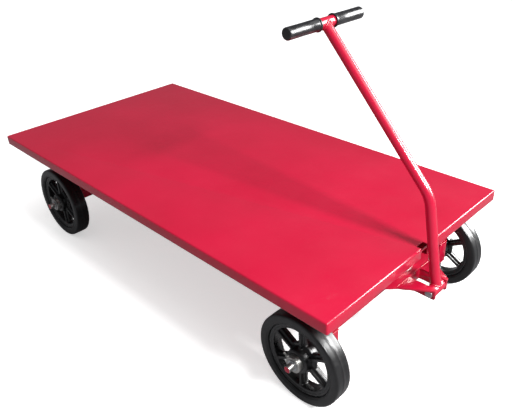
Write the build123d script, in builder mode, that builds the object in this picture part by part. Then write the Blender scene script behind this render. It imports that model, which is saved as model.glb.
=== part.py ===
from build123d import *
import os

# Platform truck with a turntable-steered front axle and a folding T-handle.
# Millimetres. +X points to the towing end, +Z up, and -Y is the right-hand side
# for someone who stands on the deck and looks towards the handle.
# The origin is on the ground, midway between the rear lip and the tongue tips.

# ---- driving dimensions: deck ----
deck_length = 1524.0
deck_width = 762.0
deck_height = 340.0
sheet = 3.0
lip_depth = 34.0
bend_radius = 5.0
lower_bend_radius = 4.0
corner_radius = 3.0
return_flange = 15.0
notch_width = 30.0
notch_depth = 15.5
tongue_reach = 57.0

# ---- driving dimensions: running gear ----
front_axle_from_middle = 641.0
rear_axle_from_middle = -528.0
wheel_diameter = 254.0
wheel_width = 50.0
track_half = 322.0
axle_diameter = 19.0
hub_diameter = 44.0
hub_half_length = 40.0
axle_overhang = 20.0
stub_inner_y = 234.0
axle_chamfer = 1.2
running_gap = 0.05

# ---- driving dimensions: handle, measured from the middle of the deck ----
pivot_from_middle = 804.0
pivot_height = 233.5
bend_from_middle = 761.0
bend_height = 481.0
crossbar_from_middle = 435.0
crossbar_height = 845.0
tube_diameter = 26.7
tube_wall = 2.9
tube_bend_radius = 90.0
crossbar_diameter = 27.4
crossbar_length = 272.0
grip_length = 112.0
grip_diameter = 31.0
grip_rim_diameter = 36.0

# ---- front running gear sizes ----
gusset_root = 100.0
gusset_root_y = 83.0
gusset_tip_y = 33.0
leg_outer_y = 280.0
leg_depth = 40.0
leg_wall = 5.0
beam_size = 30.0
beam_wall = 3.0
beam_corner = 3.0
leg_corner = 4.0
bolster_width = 84.0
bolster_depth = 60.0
rear_bolster_depth = 44.0
bolster_wall = 5.0
bolster_corner = 5.0
bolster_inner_corner = 2.0
rear_bolster_width = 60.0
kingpin_head_radius = 17.0
kingpin_head_height = 12.0
kingpin_bottom = 156.0
kingpin_washer_radius = 20.0
kingpin_washer_thickness = 3.0
kingpin_nut_height = 16.0
tongue_inner_y = 24.5
side_plate_wall = 5.0
side_plate_depth = 27.0
pivot_bolt_radius = 6.3
pivot_head_radius = 10.6
pivot_head_height = 7.5
pivot_nut_height = 10.0
thread_showing = 3.0
pivot_clearance = 0.1
plate_corner = 5.0
gusset_corner = 3.0
washer_radius = 19.0
washer_thickness = 1.4
washer_play = 0.3
outer_washer_radius = 14.0
pin_radius = 2.4
pin_hole_radius = 2.5
pin_stand = 1.5

# ---- places that follow from them ----
middle_x = -tongue_reach / 2
front_x = middle_x + front_axle_from_middle
rear_x = middle_x + rear_axle_from_middle
deck_front_x = middle_x + deck_length / 2
axle_height = wheel_diameter / 2
deck_underside = deck_height - sheet
lip_bottom = deck_height - lip_depth
pivot_x = middle_x + pivot_from_middle
beam_bottom = axle_height - beam_size / 2
beam_top = axle_height + beam_size / 2
lower_plate_top = 250.0
plate_thickness = 6.0
bolster_bottom = lower_plate_top - plate_thickness - bolster_depth
bolster_middle_z = bolster_bottom + bolster_depth / 2
side_plate_middle_z = lower_plate_top - plate_thickness - side_plate_depth / 2
tongue_outer_y = tongue_inner_y + side_plate_wall
hub_end_y = track_half + hub_half_length
axle_half_length = hub_end_y + axle_overhang
pin_y = hub_end_y + 2 * washer_play + washer_thickness + pin_radius


def label(part_builder, name):
    part_builder.part.label = name
    export_step(part_builder.part, f"parts/{name}.step")


def across(x, z, y=0.0):
    """A work plane whose normal runs along +Y, with local x along +X and local y along -Z."""
    return Plane(origin=(x, y, z), x_dir=(1, 0, 0), z_dir=(0, 1, 0))


os.makedirs("parts", exist_ok=True)

# ================================================================ deck
# One sheet, bent down on all four sides with a short return at the foot of each lip.
pan_middle_z = deck_height - lip_depth / 2
with BuildPart() as deck_pan:
    with Locations((middle_x, 0, pan_middle_z)):
        Box(deck_length, deck_width, lip_depth)
    fillet(deck_pan.edges().filter_by(Axis.Z), corner_radius)
    fillet(deck_pan.faces().sort_by(Axis.Z)[-1].edges(), bend_radius)
    fillet(deck_pan.faces().sort_by(Axis.Z)[0].edges(), lower_bend_radius)
    with Locations((middle_x, 0, pan_middle_z)):
        Box(deck_length - 2 * sheet, deck_width - 2 * sheet, lip_depth - 2 * sheet, mode=Mode.SUBTRACT)
    with Locations((middle_x, 0, lip_bottom + sheet / 2)):
        Box(
            deck_length - 2 * return_flange,
            deck_width - 2 * return_flange,
            2 * sheet,
            mode=Mode.SUBTRACT,
        )
    with Locations((deck_front_x, 0, pan_middle_z)):
        Box(2 * notch_depth, notch_width, 2 * lip_depth, mode=Mode.SUBTRACT)
label(deck_pan, "deck_pan")

# Channels and cross members stiffen the sheet from below.
stringer_y = 150.0
stringer_depth = 51.0
stringer_width = 25.0
stringer_wall = 4.0
stringer_corner = 3.0
stringer_end_gap = 5.0
stringer_length = deck_length - 2 * return_flange - 2 * stringer_end_gap
stringer_bottom = deck_underside - stringer_depth
upper_plate_setback = 16.0
upper_plate_x = front_x - upper_plate_setback
upper_plate_length = 200.0
upper_plate_width = 350.0
upper_plate_corner = 18.0
bolt_from_plate_end = 25.0
bolt_from_stringer_middle = 2.0
bolt_x = upper_plate_length / 2 - bolt_from_plate_end
bolt_y = stringer_y + bolt_from_stringer_middle
bolt_radius = 5.0
for side, name in ((1, "left_stringer"), (-1, "right_stringer")):
    with BuildPart() as stringer:
        with BuildSketch(Plane.YZ.offset(middle_x - stringer_length / 2)):
            with Locations((side * stringer_y, deck_underside - stringer_depth / 2)):
                Rectangle(stringer_width, stringer_depth)
            with Locations((side * (stringer_y + stringer_wall), deck_underside - stringer_depth / 2)):
                Rectangle(stringer_width, stringer_depth - 2 * stringer_wall, mode=Mode.SUBTRACT)
        extrude(amount=stringer_length)
        fillet(stringer.edges().filter_by(Axis.X).group_by(Axis.Y)[0 if side > 0 else -1], stringer_corner)
        with Locations((upper_plate_x, side * bolt_y, stringer_bottom)):
            with GridLocations(2 * bolt_x, 0, 2, 1):
                Cylinder(bolt_radius, 2 * stringer_wall + 1.0, mode=Mode.SUBTRACT)
    label(stringer, name)

# Each cross member is a shallow channel that fits between the stringers.
member_length = 2 * stringer_y - stringer_width
member_depth = 30.0
member_width = 60.0
member_wall = 3.0
members = (
    ("front_cross_member", 470.0),
    ("middle_cross_member", 40.0),
    ("rear_cross_member", -380.0),
)
for name, from_middle in members:
    with BuildPart() as member:
        member_x = middle_x + from_middle
        with BuildSketch(across(member_x, deck_underside - member_depth / 2, -member_length / 2)):
            Rectangle(member_width, member_depth)
            with Locations((0, member_wall)):
                Rectangle(member_width - 2 * member_wall, member_depth, mode=Mode.SUBTRACT)
        extrude(amount=member_length)
    label(member, name)

# ================================================================ turntable
turntable_radius = 130.0
race_outer_radius = 84.0
race_inner_radius = 56.0
ball_circle_radius = 70.0
ball_radius = 6.0
ball_count = 22
groove_radius = 6.3
race_gap = 2.0
kingpin_radius = 10.0
upper_plate_bottom = stringer_bottom - plate_thickness
ball_height = (lower_plate_top + upper_plate_bottom) / 2

with BuildPart() as upper_turntable_plate:
    with BuildSketch(Plane.XY.offset(upper_plate_bottom)):
        with Locations((upper_plate_x, 0)):
            RectangleRounded(upper_plate_length, upper_plate_width, upper_plate_corner)
        with Locations((front_x, 0)):
            Circle(kingpin_radius, mode=Mode.SUBTRACT)
        with Locations((upper_plate_x, 0)):
            with GridLocations(2 * bolt_x, 2 * bolt_y, 2, 2):
                Circle(bolt_radius, mode=Mode.SUBTRACT)
    extrude(amount=plate_thickness)
label(upper_turntable_plate, "upper_turntable_plate")

# Four hexagon bolts hold the plate to the lower flanges of the stringers, nuts above.
bolt_head_radius = 9.2
bolt_head_height = 6.4
nut_height = 8.0
nut_base = stringer_bottom + stringer_wall
with BuildPart() as turntable_bolts:
    with BuildSketch(Plane.XY.offset(upper_plate_bottom - bolt_head_height)):
        with Locations((upper_plate_x, 0)):
            with GridLocations(2 * bolt_x, 2 * bolt_y, 2, 2):
                RegularPolygon(bolt_head_radius, 6)
    extrude(amount=bolt_head_height)
    with BuildSketch(Plane.XY.offset(nut_base)):
        with Locations((upper_plate_x, 0)):
            with GridLocations(2 * bolt_x, 2 * bolt_y, 2, 2):
                RegularPolygon(bolt_head_radius, 6)
    extrude(amount=nut_height)
    with BuildSketch(Plane.XY.offset(upper_plate_bottom)):
        with Locations((upper_plate_x, 0)):
            with GridLocations(2 * bolt_x, 2 * bolt_y, 2, 2):
                Circle(bolt_radius)
    extrude(amount=nut_base + nut_height + thread_showing - upper_plate_bottom)
label(turntable_bolts, "turntable_bolts")


def race_ring(bottom, name):
    """A flat steel ring with half of the ball groove in the face that meets the balls."""
    height = (upper_plate_bottom - lower_plate_top - race_gap) / 2
    with BuildPart() as race:
        with BuildSketch(Plane.XY.offset(bottom)):
            with Locations((front_x, 0)):
                Circle(race_outer_radius)
                Circle(race_inner_radius, mode=Mode.SUBTRACT)
        extrude(amount=height)
        chamfer(race.edges().filter_by(GeomType.CIRCLE), 1.0)
        with Locations((front_x, 0, ball_height)):
            Torus(ball_circle_radius, groove_radius, mode=Mode.SUBTRACT)
    label(race, name)


race_ring(lower_plate_top, "lower_race")
race_ring(ball_height + race_gap / 2, "upper_race")

with BuildPart() as turntable_balls:
    with Locations((front_x, 0, ball_height)):
        with PolarLocations(ball_circle_radius, ball_count):
            Sphere(ball_radius)
label(turntable_balls, "turntable_balls")

with BuildPart() as lower_turntable_plate:
    with BuildSketch(Plane.XY.offset(lower_plate_top - plate_thickness)):
        with Locations((front_x, 0)):
            Circle(turntable_radius)
            Circle(kingpin_radius + running_gap, mode=Mode.SUBTRACT)
        with Locations((front_x + gusset_root + turntable_radius / 2, 0)):
            Rectangle(turntable_radius, 2 * turntable_radius, mode=Mode.SUBTRACT)
    extrude(amount=plate_thickness)
label(lower_turntable_plate, "lower_turntable_plate")

# ================================================================ front bolster, legs, beam
with BuildPart() as front_bolster:
    with BuildSketch(across(front_x, bolster_middle_z, -leg_outer_y)):
        RectangleRounded(bolster_width, bolster_depth, bolster_corner)
        RectangleRounded(
            bolster_width - 2 * bolster_wall,
            bolster_depth - 2 * bolster_wall,
            bolster_inner_corner,
            mode=Mode.SUBTRACT,
        )
    extrude(amount=2 * leg_outer_y)
    with Locations((front_x, 0, bolster_middle_z)):
        Cylinder(kingpin_radius + running_gap, 2 * bolster_depth, mode=Mode.SUBTRACT)
label(front_bolster, "front_bolster")

# The legs are short rectangular tubes on end, and a stub axle passes through both walls of each.
for side, name in ((1, "front_left_leg"), (-1, "front_right_leg")):
    with BuildPart() as leg:
        with BuildSketch(Plane.XY.offset(beam_bottom)):
            with Locations((front_x, side * (leg_outer_y - leg_depth / 2))):
                Rectangle(bolster_width, leg_depth)
                Rectangle(bolster_width - 2 * leg_wall, leg_depth - 2 * leg_wall, mode=Mode.SUBTRACT)
        extrude(amount=bolster_bottom - beam_bottom)
        outer_edges = leg.edges().filter_by(Axis.Z).group_by(Axis.Y)[-1 if side > 0 else 0]
        fillet(outer_edges, leg_corner)
        with Locations((front_x, side * leg_outer_y, axle_height)):
            Cylinder(axle_diameter / 2 + running_gap, 4 * leg_depth, rotation=(90, 0, 0), mode=Mode.SUBTRACT)
    label(leg, name)


def square_beam(x, half_length, name):
    """The square tube that the axle rod lies in."""
    with BuildPart() as beam:
        with BuildSketch(across(x, axle_height, -half_length)):
            RectangleRounded(beam_size, beam_size, beam_corner)
            Rectangle(beam_size - 2 * beam_wall, beam_size - 2 * beam_wall, mode=Mode.SUBTRACT)
        extrude(amount=2 * half_length)
    label(beam, name)


def axle_rods(x, runs, name):
    """Plain rods, one for each run along Y, with a cross hole near each outer end for a pin."""
    with BuildPart() as rod:
        for start, stop in runs:
            with BuildSketch(across(x, axle_height, start)):
                Circle(axle_diameter / 2)
            extrude(amount=stop - start)
        chamfer(rod.edges().filter_by(GeomType.CIRCLE), axle_chamfer)
        for side in (1, -1):
            with Locations((x, side * pin_y, axle_height)):
                Cylinder(pin_hole_radius, 2 * axle_diameter, mode=Mode.SUBTRACT)
    label(rod, name)


def axle_washers(x, name):
    """Four washers on one axle: one each side of both hubs."""
    with BuildPart() as washers:
        for side in (1, -1):
            for start, radius in ((leg_outer_y, washer_radius), (hub_end_y, outer_washer_radius)):
                washer_y = side * (start + washer_play + washer_thickness / 2)
                with BuildSketch(across(x, axle_height, washer_y)):
                    Circle(radius)
                    Circle(axle_diameter / 2 + running_gap, mode=Mode.SUBTRACT)
                extrude(amount=washer_thickness / 2, both=True)
    label(washers, name)


def axle_pins(x, name):
    """A spring pin through each axle end, just outside the washer."""
    with BuildPart() as pins:
        for side in (1, -1):
            with Locations((x, side * pin_y, axle_height)):
                Cylinder(pin_radius, axle_diameter + 2 * pin_stand)
    label(pins, name)


stub_runs = ((stub_inner_y, axle_half_length), (-axle_half_length, -stub_inner_y))
axle_rods(front_x, stub_runs, "front_axle")
axle_washers(front_x, "front_washers")
axle_pins(front_x, "front_axle_pins")

# ================================================================ rear running gear
with BuildPart() as rear_bolster:
    with BuildSketch(across(rear_x, stringer_bottom - rear_bolster_depth / 2, -leg_outer_y)):
        RectangleRounded(rear_bolster_width, rear_bolster_depth, bolster_corner)
        RectangleRounded(
            rear_bolster_width - 2 * bolster_wall,
            rear_bolster_depth - 2 * bolster_wall,
            bolster_inner_corner,
            mode=Mode.SUBTRACT,
        )
    extrude(amount=2 * leg_outer_y)
label(rear_bolster, "rear_bolster")

rear_leg_top = stringer_bottom - rear_bolster_depth
for side, name in ((1, "rear_left_leg"), (-1, "rear_right_leg")):
    with BuildPart() as rear_leg:
        with BuildSketch(Plane.XY.offset(beam_top)):
            with Locations((rear_x, side * (leg_outer_y - leg_depth / 2))):
                RectangleRounded(beam_size, leg_depth, beam_corner)
                Rectangle(beam_size - 2 * beam_wall, leg_depth - 2 * beam_wall, mode=Mode.SUBTRACT)
        extrude(amount=rear_leg_top - beam_top)
    label(rear_leg, name)

square_beam(rear_x, leg_outer_y, "rear_axle_beam")
axle_rods(rear_x, ((-axle_half_length, axle_half_length),), "rear_axle")
axle_washers(rear_x, "rear_washers")
axle_pins(rear_x, "rear_axle_pins")

# ================================================================ kingpin
with BuildPart() as kingpin:
    with BuildSketch(Plane.XY.offset(stringer_bottom)):
        with Locations((front_x, 0)):
            RegularPolygon(kingpin_head_radius, 6)
    extrude(amount=kingpin_head_height)
    with BuildSketch(Plane.XY.offset(kingpin_bottom)):
        with Locations((front_x, 0)):
            Circle(kingpin_radius)
    extrude(amount=stringer_bottom - kingpin_bottom)
    chamfer(kingpin.edges().filter_by(GeomType.CIRCLE).sort_by(Axis.Z)[0], 1.5)
label(kingpin, "kingpin")

kingpin_washer_top = bolster_bottom - 0.5
with BuildPart() as kingpin_nut:
    with BuildSketch(Plane.XY.offset(kingpin_washer_top - kingpin_washer_thickness)):
        with Locations((front_x, 0)):
            Circle(kingpin_washer_radius)
            Circle(kingpin_radius, mode=Mode.SUBTRACT)
    extrude(amount=kingpin_washer_thickness)
    with BuildSketch(Plane.XY.offset(kingpin_washer_top - kingpin_washer_thickness)):
        with Locations((front_x, 0)):
            RegularPolygon(kingpin_head_radius, 6)
            Circle(kingpin_radius, mode=Mode.SUBTRACT)
    extrude(amount=-kingpin_nut_height)
label(kingpin_nut, "kingpin_nut")

# ================================================================ tongue
tip_x = deck_front_x + tongue_reach
side_plate_back = front_x + bolster_width / 2
for side, name in ((1, "tongue_left_side"), (-1, "tongue_right_side")):
    with BuildPart() as side_plate:
        with BuildSketch(across((tip_x + side_plate_back) / 2, side_plate_middle_z, side * tongue_outer_y)):
            Rectangle(tip_x - side_plate_back, side_plate_depth)
        extrude(amount=-side * side_plate_wall)
        front_corners = side_plate.edges().filter_by(Axis.Y).group_by(Axis.X)[-1].sort_by(Axis.Z)
        fillet(front_corners[0], plate_corner)
        with Locations((pivot_x, side * tongue_outer_y, pivot_height)):
            Cylinder(pivot_bolt_radius + pivot_clearance, 4 * side_plate_wall, rotation=(90, 0, 0), mode=Mode.SUBTRACT)
    label(side_plate, name)

for side, name in ((1, "tongue_left_gusset"), (-1, "tongue_right_gusset")):
    with BuildPart() as gusset:
        with BuildSketch(Plane.XY.offset(lower_plate_top - plate_thickness)):
            with BuildLine():
                Polyline(
                    (front_x + gusset_root, side * tongue_inner_y),
                    (tip_x, side * tongue_inner_y),
                    (tip_x, side * gusset_tip_y),
                    (front_x + gusset_root, side * gusset_root_y),
                    close=True,
                )
            make_face()
        extrude(amount=plate_thickness)
        tip_edge = gusset.edges().filter_by(Axis.Z).group_by(Axis.X)[-1].sort_by(Axis.Y)[-1 if side > 0 else 0]
        fillet(tip_edge, gusset_corner)
    label(gusset, name)

with BuildPart() as tongue_spreader:
    with BuildSketch(Plane.YZ.offset(front_x + gusset_root)):
        with Locations((0, side_plate_middle_z)):
            Rectangle(2 * tongue_inner_y, side_plate_depth)
    extrude(amount=-plate_thickness)
label(tongue_spreader, "tongue_spreader")

with BuildPart() as pivot_bolt:
    with BuildSketch(across(pivot_x, pivot_height, -tongue_outer_y)):
        RegularPolygon(pivot_head_radius, 6)
    extrude(amount=-pivot_head_height)
    with BuildSketch(across(pivot_x, pivot_height, -tongue_outer_y)):
        Circle(pivot_bolt_radius)
    extrude(amount=2 * tongue_outer_y + pivot_nut_height + thread_showing)
    chamfer(pivot_bolt.edges().filter_by(GeomType.CIRCLE).sort_by(Axis.Y)[-1], 1.0)
label(pivot_bolt, "pivot_bolt")

with BuildPart() as pivot_nut:
    with BuildSketch(across(pivot_x, pivot_height, tongue_outer_y)):
        RegularPolygon(pivot_head_radius, 6)
        Circle(pivot_bolt_radius, mode=Mode.SUBTRACT)
    extrude(amount=pivot_nut_height)
label(pivot_nut, "pivot_nut")

# ================================================================ handle
sleeve_radius = 15.0
sleeve_play = 1.0
sleeve_half_length = tongue_inner_y - sleeve_play
handle_bend = (middle_x + bend_from_middle, bend_height)
handle_top = (middle_x + crossbar_from_middle, crossbar_height)

with BuildPart() as pivot_sleeve:
    with BuildSketch(across(pivot_x, pivot_height, -sleeve_half_length)):
        Circle(sleeve_radius)
        Circle(pivot_bolt_radius + running_gap, mode=Mode.SUBTRACT)
    extrude(amount=2 * sleeve_half_length)
    chamfer(pivot_sleeve.edges().filter_by(GeomType.CIRCLE), 0.8)
label(pivot_sleeve, "pivot_sleeve")

with BuildPart() as handle_tube:
    with BuildLine() as handle_line:
        FilletPolyline(
            (pivot_x, 0, pivot_height),
            (handle_bend[0], 0, handle_bend[1]),
            (handle_top[0], 0, handle_top[1]),
            radius=tube_bend_radius,
        )
    tube_start = Plane(
        origin=(pivot_x, 0, pivot_height),
        x_dir=(0, 1, 0),
        z_dir=(handle_bend[0] - pivot_x, 0, handle_bend[1] - pivot_height),
    )
    with BuildSketch(tube_start):
        Circle(tube_diameter / 2)
        Circle(tube_diameter / 2 - tube_wall, mode=Mode.SUBTRACT)
    sweep(path=handle_line.wires()[0])
    with Locations((pivot_x, 0, pivot_height)):
        Cylinder(sleeve_radius, 4 * sleeve_radius, rotation=(90, 0, 0), mode=Mode.SUBTRACT)
    with Locations((handle_top[0], 0, handle_top[1])):
        Cylinder(crossbar_diameter / 2, 4 * sleeve_radius, rotation=(90, 0, 0), mode=Mode.SUBTRACT)
label(handle_tube, "handle_tube")

with BuildPart() as handle_crossbar:
    with BuildSketch(across(handle_top[0], handle_top[1], -crossbar_length / 2)):
        Circle(crossbar_diameter / 2)
        Circle(crossbar_diameter / 2 - tube_wall, mode=Mode.SUBTRACT)
    extrude(amount=crossbar_length)
label(handle_crossbar, "handle_crossbar")

# Each grip is a moulded sleeve with a rim at its inner end and a closed, rounded outer end.
grip_cap = 3.0
grip_rim_width = 4.0
grip_end_round = 4.0
grip_rim_round = 1.4
for side, name in ((1, "left_grip"), (-1, "right_grip")):
    grip_axis = Plane(
        origin=(handle_top[0], side * (crossbar_length / 2 + grip_cap), handle_top[1]),
        x_dir=(1, 0, 0),
        z_dir=(0, 0, side),
    )
    with BuildPart() as grip:
        with BuildSketch(grip_axis):
            with BuildLine():
                Polyline(
                    (0, 0),
                    (grip_diameter / 2, 0),
                    (grip_diameter / 2, grip_rim_width - grip_length),
                    (grip_rim_diameter / 2, grip_rim_width - grip_length),
                    (grip_rim_diameter / 2, -grip_length),
                    (crossbar_diameter / 2, -grip_length),
                    (crossbar_diameter / 2, -grip_cap),
                    (0, -grip_cap),
                    close=True,
                )
            make_face()
        revolve(axis=Axis(grip_axis.origin, (0, 1, 0)))
        circles = grip.edges().filter_by(GeomType.CIRCLE)
        fillet(circles.sort_by(Axis.Y)[-1 if side > 0 else 0], grip_end_round)
        circles = grip.edges().filter_by(GeomType.CIRCLE)
        fillet([edge for edge in circles if abs(edge.radius - grip_rim_diameter / 2) < 0.1], grip_rim_round)
    label(grip, name)

# ================================================================ wheels
rim_outer_radius = 100.0
rim_inner_radius = 87.0
rim_step_radius = 94.0
rim_half_width = 18.0
rim_step_back = 2.5
tyre_bulge = 13.0
tyre_shoulder = 8.0
window_edge = 1.5
window_corner = 4.5
spoke_count = 6
spoke_width = 19.0
spoke_rib = 8.0
web_half = 5.5
gap_inner_radius = 42.0
boss_radius = 33.0
boss_half = 27.0
roller_count = 10
roller_radius = 2.6
nipple_hex = 4.5
nipple_neck = 2.2
nipple_ball = 3.0
nipple_hex_height = 6.0
nipple_neck_height = 7.0
nipple_ball_height = 13.5
nipple_sink = 0.4
roller_play = 0.1
roller_end_play = 2.0
seal_length = 6.0
sleeve_chamfer = 1.0


def wheel(x, side, name):
    """One wheel: moulded tyre, cast spoked centre, hub sleeve, roller bearing and grease fitting."""
    middle = (x, side * track_half, axle_height)
    profile = Plane(origin=middle, x_dir=(1, 0, 0), z_dir=(0, 0, side))
    face = Plane(origin=middle, x_dir=(1, 0, 0), z_dir=(0, side, 0))
    spin = Axis(middle, (0, side, 0))

    with BuildPart() as tyre:
        with BuildSketch(profile):
            with BuildLine():
                tread = wheel_diameter / 2
                Line((rim_outer_radius, -rim_half_width), (rim_outer_radius, rim_half_width))
                ThreePointArc(
                    (rim_outer_radius, rim_half_width),
                    (rim_outer_radius + tyre_bulge, wheel_width / 2),
                    (tread, wheel_width / 2 - tyre_shoulder),
                )
                Line((tread, wheel_width / 2 - tyre_shoulder), (tread, tyre_shoulder - wheel_width / 2))
                ThreePointArc(
                    (tread, tyre_shoulder - wheel_width / 2),
                    (rim_outer_radius + tyre_bulge, -wheel_width / 2),
                    (rim_outer_radius, -rim_half_width),
                )
            make_face()
        revolve(axis=spin)
    label(tyre, f"{name}_tyre")

    with BuildPart() as centre:
        with BuildSketch(profile):
            with Locations(((rim_outer_radius + rim_step_radius) / 2, 0)):
                Rectangle(rim_outer_radius - rim_step_radius, 2 * rim_half_width)
            with Locations(((rim_step_radius + rim_inner_radius) / 2, 0)):
                Rectangle(rim_step_radius - rim_inner_radius, 2 * (rim_half_width - rim_step_back))
            with Locations(((rim_inner_radius + hub_diameter / 2) / 2, 0)):
                Rectangle(rim_inner_radius - hub_diameter / 2, 2 * web_half)
            with Locations(((boss_radius + hub_diameter / 2) / 2, 0)):
                Rectangle(boss_radius - hub_diameter / 2, 2 * boss_half)
        revolve(axis=spin)
        with BuildSketch(face.offset(-2 * web_half)) as windows:
            Circle(rim_inner_radius - window_edge)
            Circle(gap_inner_radius, mode=Mode.SUBTRACT)
            with PolarLocations(0, spoke_count, start_angle=30):
                with Locations((rim_outer_radius / 2, 0)):
                    Rectangle(rim_outer_radius, spoke_width, mode=Mode.SUBTRACT)
            fillet(windows.vertices(), window_corner)
        extrude(amount=4 * web_half, mode=Mode.SUBTRACT)
        with BuildSketch(face.offset(-rim_half_width + 4.5)):
            with PolarLocations(0, spoke_count, start_angle=30):
                with Locations(((boss_radius + rim_inner_radius) / 2, 0)):
                    Rectangle(rim_inner_radius - boss_radius + 6.0, spoke_rib)
        extrude(amount=2 * rim_half_width - 9.0)
    label(centre, f"{name}_wheel_centre")

    roller_circle = axle_diameter / 2 + running_gap + roller_radius + roller_play / 2
    bearing_radius = roller_circle + roller_radius + roller_play / 2
    with BuildPart() as hub_sleeve:
        with BuildSketch(face.offset(-hub_half_length)):
            Circle(hub_diameter / 2)
            Circle(axle_diameter / 2 + running_gap, mode=Mode.SUBTRACT)
        extrude(amount=2 * hub_half_length)
        chamfer(hub_sleeve.edges().filter_by(GeomType.CIRCLE).group_by(Axis.Y)[0], sleeve_chamfer)
        chamfer(hub_sleeve.edges().filter_by(GeomType.CIRCLE).group_by(Axis.Y)[-1], sleeve_chamfer)
        with BuildSketch(face.offset(-hub_half_length + seal_length)):
            Circle(bearing_radius)
        extrude(amount=2 * (hub_half_length - seal_length), mode=Mode.SUBTRACT)
    label(hub_sleeve, f"{name}_hub_sleeve")

    roller_length = 2 * (hub_half_length - seal_length - roller_end_play)
    with BuildPart() as bearing:
        with BuildSketch(face.offset(-roller_length / 2)):
            with PolarLocations(roller_circle, roller_count):
                Circle(roller_radius)
        extrude(amount=roller_length)
    label(bearing, f"{name}_bearing")

    # The nipple stands on the sleeve, just outside the cast boss.
    nipple_along = (boss_half + hub_half_length) / 2
    nipple_base = Plane(
        origin=face.origin + face.z_dir * nipple_along,
        x_dir=(0, side, 0),
        z_dir=(-0.9, 0, 0.44),
    ).offset(hub_diameter / 2 - nipple_sink)
    with BuildPart() as grease_fitting:
        with BuildSketch(nipple_base):
            RegularPolygon(nipple_hex, 6)
        extrude(amount=nipple_hex_height)
        with BuildSketch(nipple_base.offset(nipple_hex_height)):
            Circle(nipple_neck)
        extrude(amount=nipple_neck_height)
        with Locations(nipple_base.offset(nipple_ball_height).location):
            Sphere(nipple_ball)
        with BuildSketch(face.offset(-hub_half_length)):
            Circle(hub_diameter / 2)
        extrude(amount=2 * hub_half_length, mode=Mode.SUBTRACT)
    label(grease_fitting, f"{name}_grease_fitting")


wheel(front_x, 1, "front_left")
wheel(front_x, -1, "front_right")
wheel(rear_x, 1, "rear_left")
wheel(rear_x, -1, "rear_right")
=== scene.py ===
# %% [markdown]
# # A red platform truck, dressed for its picture
# The solids of the truck come ready made: a lipped deck, a turntable under its front, four spoked
# wheels and a drawbar with a T-handle. This lesson loads them as a frame that must not move, and
# then makes the pieces that are seen: sheet metal with real bends, castings with soft corners,
# turned steel, rubber, welds and paint. Every place and size is read from the frame.

from math import acos, atan2, cos, pi, radians, sin, sqrt, tan

import bmesh
import bpy
from mathutils import Matrix, Vector


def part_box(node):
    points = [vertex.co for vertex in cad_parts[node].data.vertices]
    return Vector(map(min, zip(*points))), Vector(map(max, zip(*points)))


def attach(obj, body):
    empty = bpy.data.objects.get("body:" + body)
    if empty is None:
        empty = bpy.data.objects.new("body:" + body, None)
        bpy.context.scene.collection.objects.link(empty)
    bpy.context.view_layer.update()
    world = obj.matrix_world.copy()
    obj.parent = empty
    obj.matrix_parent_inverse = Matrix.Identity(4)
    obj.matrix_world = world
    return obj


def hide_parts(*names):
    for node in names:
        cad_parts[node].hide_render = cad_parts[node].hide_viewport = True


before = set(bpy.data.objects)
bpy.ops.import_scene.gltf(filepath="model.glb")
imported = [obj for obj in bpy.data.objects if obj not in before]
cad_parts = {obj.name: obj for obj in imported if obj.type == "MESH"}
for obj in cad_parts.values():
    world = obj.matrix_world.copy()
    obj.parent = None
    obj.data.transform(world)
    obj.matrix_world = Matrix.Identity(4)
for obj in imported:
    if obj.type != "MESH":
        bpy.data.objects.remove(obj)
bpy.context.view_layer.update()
bpy.ops.object.select_all(action="DESELECT")
MM = 0.001

# %% [markdown]
# ## The camera
# A camera can be aimed with angles, but a view that was worked out from an object's own straight
# edges is easier to write as three directions: where the lens looks, what is right, and what is up.
# Its place is counted from the middle of the deck, which the frame gives.

# %% Camera
deck_low, deck_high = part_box("deck_pan")
deck_middle = (deck_low + deck_high) / 2
camera_place = Vector((deck_middle.x + 1.3545, -1.1125, 1.1832))
look = Vector((-0.61694, 0.62288, -0.48104)).normalized()
right = Vector((0.72209, 0.69109, -0.03123)).normalized()
up = right.cross(look)

bpy.ops.object.camera_add()
camera = bpy.context.object
camera.name = "studio_camera"
aim = Matrix((right, up, -look)).transposed().to_4x4()
camera.matrix_world = Matrix.Translation(camera_place) @ aim
camera.data.sensor_width = 36.0
camera.data.lens = 41.4
camera.data.shift_x = -0.0415
camera.data.shift_y = -0.0344
camera.data.clip_end = 50.0
bpy.context.scene.camera = camera
print("camera", tuple(round(v, 3) for v in camera_place))

# %% [markdown]
# ## Small helpers
# Modelling by script is the same as modelling by hand: one object is active, some of its faces or
# edges are selected, and an operator acts on them. These few helpers say which object, which faces,
# and what to do when a piece is finished.

# %% Helpers for selecting
def activate(obj):
    """Leaves only this object selected, in object mode."""
    if bpy.context.object and bpy.context.object.mode == "EDIT":
        bpy.ops.object.mode_set(mode="OBJECT")
    bpy.ops.object.select_all(action="DESELECT")
    obj.select_set(True)
    bpy.context.view_layer.objects.active = obj


def middle(item):
    """The middle of a vertex, an edge or a face."""
    if isinstance(item, bmesh.types.BMVert):
        return item.co
    return sum((v.co for v in item.verts), Vector()) / len(item.verts)


def pick(obj, kind, test):
    """Opens the object in edit mode with only the items that pass the test selected."""
    activate(obj)
    bpy.ops.object.mode_set(mode="EDIT")
    bpy.ops.mesh.select_mode(type=kind)
    bpy.ops.mesh.select_all(action="DESELECT")
    shape = bmesh.from_edit_mesh(obj.data)
    items = {"VERT": shape.verts, "EDGE": shape.edges, "FACE": shape.faces}[kind]
    count = 0
    for item in items:
        if test(item):
            item.select_set(True)
            count += 1
    bmesh.update_edit_mesh(obj.data)
    return count


def leave_edit():
    bpy.ops.object.mode_set(mode="OBJECT")


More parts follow.
